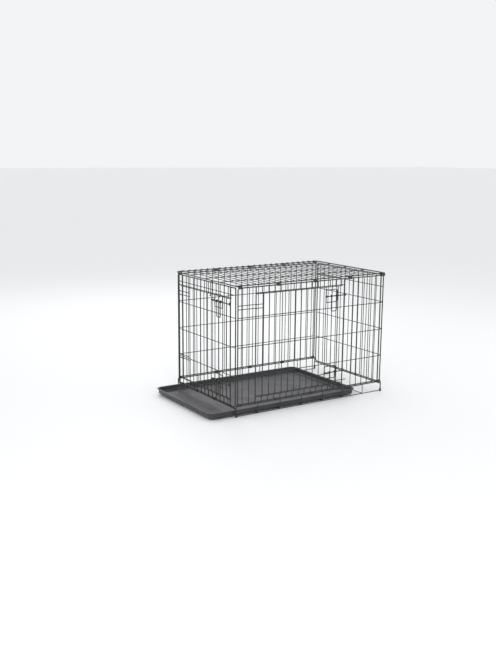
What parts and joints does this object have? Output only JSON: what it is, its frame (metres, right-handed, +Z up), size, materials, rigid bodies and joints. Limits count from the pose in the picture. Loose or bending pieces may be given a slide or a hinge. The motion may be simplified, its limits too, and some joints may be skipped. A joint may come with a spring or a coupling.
{
  "type": "wire dog crate",
  "caption": "Folding wire dog crate with a side door, an end door, sliding bolt latches, a hinged top and a slide-out floor pan.",
  "frame": {"origin": "on the floor, at the centre of the whole object's footprint as stored, with the pan standing out of the left end", "axes": "+X along the long side towards the closed end, +Y from the wall with the side door to the plain long wall, +Z up"},
  "size_m": [1.048, 0.5986, 0.6353],
  "materials": {
    "coated_wire": "satin black coating",
    "latch_steel": "satin black coating, thicker",
    "pan_plastic": "satin moulded plastic",
    "foot_rubber": "matte"
  },
  "bodies": {
    "base": {"floor_wires": "coated_wire", "base_rails": "coated_wire", "corner_feet": "foot_rubber", "far_wall_frame": "coated_wire", "far_wall_wires": "coated_wire", "far_clips": "latch_steel"},
    "pan": {"pan": "pan_plastic"},
    "near_wall": {"near_wall_frame": "coated_wire", "near_wall_wires": "coated_wire", "near_clips": "latch_steel", "side_keepers": "latch_steel"},
    "top_panel": {"top_frame": "coated_wire", "top_wires": "coated_wire", "top_lips": "latch_steel"},
    "left_end": {"left_end_frame": "coated_wire", "left_end_wires": "coated_wire", "left_end_eyes": "latch_steel", "end_keepers": "latch_steel"},
    "right_end": {"right_end_frame": "coated_wire", "right_end_wires": "coated_wire", "right_end_eyes": "latch_steel"},
    "side_door": {"side_door_wires": "coated_wire", "side_door_hinges": "coated_wire", "side_latch_frames": "latch_steel"},
    "end_door": {"end_door_wires": "coated_wire", "end_door_hinges": "coated_wire", "end_latch_frames": "latch_steel"},
    "side_bolt_upper": {"side_bolt_upper": "latch_steel"},
    "side_loop_upper": {"side_loop_upper": "latch_steel"},
    "side_bolt_lower": {"side_bolt_lower": "latch_steel"},
    "side_loop_lower": {"side_loop_lower": "latch_steel"},
    "end_bolt_upper": {"end_bolt_upper": "latch_steel"},
    "end_loop_upper": {"end_loop_upper": "latch_steel"},
    "end_bolt_lower": {"end_bolt_lower": "latch_steel"},
    "end_loop_lower": {"end_loop_lower": "latch_steel"}
  },
  "joints": [
    {"name": "pan_slide", "type": "slide", "parent": "base", "child": "pan", "axis": [-1, 0, 0], "range_m": [-0.122, 0.45]},
    {"name": "near_wall_fold", "type": "hinge", "parent": "base", "child": "near_wall", "pos_m": [0, -0.2781, 0.0535], "axis": [-1, 0, 0], "range_deg": [0, 87]},
    {"name": "top_lid", "type": "hinge", "parent": "base", "child": "top_panel", "pos_m": [0, 0.2924, 0.62825], "axis": [-1, 0, 0], "range_deg": [0, 180]},
    {"name": "left_end_fold", "type": "hinge", "parent": "base", "child": "left_end", "pos_m": [-0.38325, 0, 0.042], "axis": [0, -1, 0], "range_deg": [-90, 0]},
    {"name": "right_end_fold", "type": "hinge", "parent": "base", "child": "right_end", "pos_m": [0.51725, 0, 0.042], "axis": [0, 1, 0], "range_deg": [-86, 0]},
    {"name": "side_door_hinge", "type": "hinge", "parent": "near_wall", "child": "side_door", "pos_m": [-0.28, -0.28385, 0.34], "axis": [0, 0, 1], "range_deg": [-170, 0]},
    {"name": "end_door_hinge", "type": "hinge", "parent": "left_end", "child": "end_door", "pos_m": [-0.389, 0.26315, 0.34], "axis": [0, 0, -1], "range_deg": [0, 170]},
    {"name": "side_bolt_upper_slide", "type": "slide", "parent": "side_door", "child": "side_bolt_upper", "axis": [1, 0, 0], "range_m": [-0.022, 0]},
    {"name": "side_loop_upper_swing", "type": "hinge", "parent": "side_bolt_upper", "child": "side_loop_upper", "pos_m": [0.176, -0.29425, 0.54], "axis": [-1, 0, 0], "range_deg": [0, 110]},
    {"name": "side_bolt_lower_slide", "type": "slide", "parent": "side_door", "child": "side_bolt_lower", "axis": [1, 0, 0], "range_m": [-0.022, 0]},
    {"name": "side_loop_lower_swing", "type": "hinge", "parent": "side_bolt_lower", "child": "side_loop_lower", "pos_m": [0.176, -0.29425, 0.152], "axis": [-1, 0, 0], "range_deg": [0, 110]},
    {"name": "end_bolt_upper_slide", "type": "slide", "parent": "end_door", "child": "end_bolt_upper", "axis": [0, -1, 0], "range_m": [-0.024, 0]},
    {"name": "end_loop_upper_swing", "type": "hinge", "parent": "end_bolt_upper", "child": "end_loop_upper", "pos_m": [-0.3994, -0.14285, 0.54], "axis": [0, 1, 0], "range_deg": [0, 110]},
    {"name": "end_bolt_lower_slide", "type": "slide", "parent": "end_door", "child": "end_bolt_lower", "axis": [0, -1, 0], "range_m": [-0.024, 0]},
    {"name": "end_loop_lower_swing", "type": "hinge", "parent": "end_bolt_lower", "child": "end_loop_lower", "pos_m": [-0.3994, -0.14285, 0.152], "axis": [0, 1, 0], "range_deg": [0, 110]}
  ]
}
